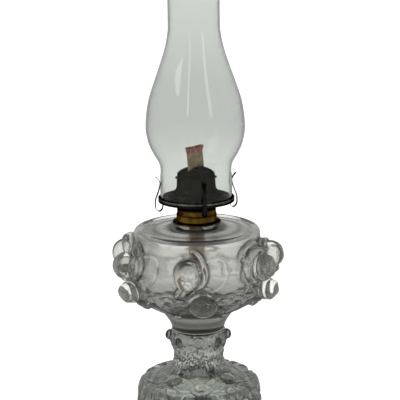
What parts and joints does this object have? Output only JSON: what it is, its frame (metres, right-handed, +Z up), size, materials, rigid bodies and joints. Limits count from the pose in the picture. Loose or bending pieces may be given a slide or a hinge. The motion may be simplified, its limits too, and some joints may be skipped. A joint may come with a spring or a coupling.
{
  "type": "oil lamp",
  "caption": "Pressed-glass kerosene table lamp: rose-relief font on a glass pedestal, flat-wick burner with spring prongs and a glass chimney.",
  "frame": {"origin": "centre of the foot's underside, where the lamp rests", "axes": "+Z up the lamp's axis, -Y towards the front as pictured, +X to the viewer's right"},
  "size_m": [0.1858, 0.1928, 0.5179],
  "materials": {
    "font_glass": "pressed clear glass",
    "pedestal_glass": "pressed glass with a green-grey tint",
    "chimney_glass": "thin blown glass",
    "plaster": "matt",
    "collar_brass": "aged brass",
    "burner_bronze": "dark tarnished brass",
    "inner_brass": "dull brass",
    "prong_steel": "dull spring steel",
    "wick_cotton": "woven cotton, charred at its top"
  },
  "bodies": {
    "stand": {"pedestal": "pedestal_glass", "font_cement": "plaster", "font": "font_glass", "collar_plaster": "plaster", "collar_shell": "collar_brass", "collar_thread_ring": "collar_brass"},
    "burner": {"burner_base": "burner_bronze", "burner_basket": "burner_bronze", "draught_screen": "inner_brass", "gallery": "burner_bronze", "deflector": "burner_bronze", "wick_tube": "inner_brass", "vent_tube": "inner_brass", "spur_cage": "inner_brass", "shaft_bush": "inner_brass", "prong_rivets": "inner_brass"},
    "winder": {"spur_shaft": "inner_brass", "spur_wheels": "inner_brass", "thumb_wheel": "burner_bronze"},
    "wick": {"wick": "wick_cotton"},
    "front_prong": {"prong_front": "prong_steel"},
    "right_prong": {"prong_right": "prong_steel"},
    "back_prong": {"prong_back": "prong_steel"},
    "left_prong": {"prong_left": "prong_steel"},
    "chimney": {"chimney": "chimney_glass"}
  },
  "joints": [
    {"name": "burner_lift", "type": "slide", "parent": "stand", "child": "burner", "axis": [0, 0, 1], "range_m": [0, 0.13]},
    {"name": "chimney_lift", "type": "slide", "parent": "burner", "child": "chimney", "axis": [0, 0, 1], "range_m": [0, 0.07]},
    {"name": "wick_wheel_turn", "type": "hinge", "parent": "burner", "child": "winder", "pos_m": [-0.00509, 0.00428, 0.2545], "axis": [0.6428, 0.766, 0], "range_deg": [-72, 335]},
    {"name": "wick_raise", "type": "slide", "parent": "burner", "child": "wick", "axis": [0, 0, 1], "range_m": [-0.028, 0.006]},
    {"name": "front_prong_spread", "type": "hinge", "parent": "burner", "child": "front_prong", "pos_m": [0.0069, -0.03247, 0.2624], "axis": [0.9781, 0.2079, 0], "range_deg": [0, 7], "stiffness_Nm_per_rad": 0.1},
    {"name": "right_prong_spread", "type": "hinge", "parent": "burner", "child": "right_prong", "pos_m": [0.03247, 0.0069, 0.2624], "axis": [-0.2079, 0.9781, 0], "range_deg": [0, 7], "stiffness_Nm_per_rad": 0.1},
    {"name": "back_prong_spread", "type": "hinge", "parent": "burner", "child": "back_prong", "pos_m": [-0.0069, 0.03247, 0.2624], "axis": [-0.9781, -0.2079, 0], "range_deg": [0, 7], "stiffness_Nm_per_rad": 0.1},
    {"name": "left_prong_spread", "type": "hinge", "parent": "burner", "child": "left_prong", "pos_m": [-0.03247, -0.0069, 0.2624], "axis": [0.2079, -0.9781, 0], "range_deg": [0, 7], "stiffness_Nm_per_rad": 0.1}
  ],
  "couplings": [
    {"joint": "wick_wheel_turn", "follows": "wick_raise", "rad_per_m": -208.33}
  ]
}
